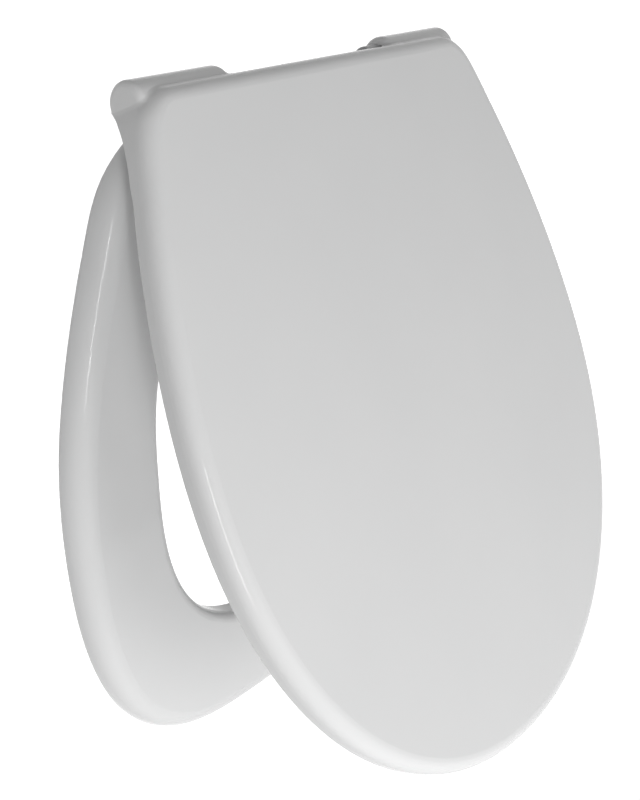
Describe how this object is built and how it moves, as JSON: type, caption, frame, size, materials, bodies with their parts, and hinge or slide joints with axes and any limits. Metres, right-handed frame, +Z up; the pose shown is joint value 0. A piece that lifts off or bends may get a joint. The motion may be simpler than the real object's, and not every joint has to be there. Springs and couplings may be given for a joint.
{
  "type": "toilet seat",
  "caption": "Toilet seat with a hinged lid and ring: a rounded lid with round lugs at its back corners, over a ring with an oval opening, on two low hinge brackets.",
  "frame": {"origin": "on the top of the bowl's rim, midway between the two fixing holes", "axes": "+X to the seat's right as its user sits, along the line of the two fixing holes; +Y to the back, across the hinge line; +Z up from the bowl's rim"},
  "size_m": [0.3866, 0.4391, 0.2144],
  "materials": {
    "seat_plastic": "white, polished",
    "bracket_plastic": "light grey, moulded",
    "bush_plastic": "off-white, moulded",
    "damper_plastic": "dark grey, moulded",
    "steel": "stainless, turned",
    "brass": "plain",
    "buffer_rubber": "light grey, moulded"
  },
  "bodies": {
    "hinge_brackets": {"hinge_bracket_right": "bracket_plastic", "hinge_bracket_left": "bracket_plastic", "hinge_pin_right": "steel", "hinge_pin_left": "steel", "pin_screw_right": "steel", "pin_screw_left": "steel", "foot_insert_right": "brass", "foot_insert_left": "brass"},
    "seat_ring": {"seat_ring": "seat_plastic", "seat_damper": "damper_plastic", "seat_bush": "bush_plastic", "seat_buffer_front_right": "buffer_rubber", "seat_buffer_front_left": "buffer_rubber", "seat_buffer_rear_right": "buffer_rubber", "seat_buffer_rear_left": "buffer_rubber"},
    "lid": {"lid": "seat_plastic", "lid_damper": "damper_plastic", "lid_end_bush": "bush_plastic", "lid_bush_right": "bush_plastic", "lid_bush_left": "bush_plastic", "lid_buffer_front_right": "buffer_rubber", "lid_buffer_front_left": "buffer_rubber", "lid_buffer_rear_right": "buffer_rubber", "lid_buffer_rear_left": "buffer_rubber"}
  },
  "joints": [
    {"name": "seat_hinge", "type": "hinge", "parent": "hinge_brackets", "child": "seat_ring", "pos_m": [0, 0.0283, 0.0217], "axis": [-1, 0, 0], "range_deg": [0, 95]},
    {"name": "lid_hinge", "type": "hinge", "parent": "seat_ring", "child": "lid", "pos_m": [0, 0.0283, 0.0217], "axis": [-1, 0, 0], "range_deg": [-24.4, 80.6]}
  ]
}
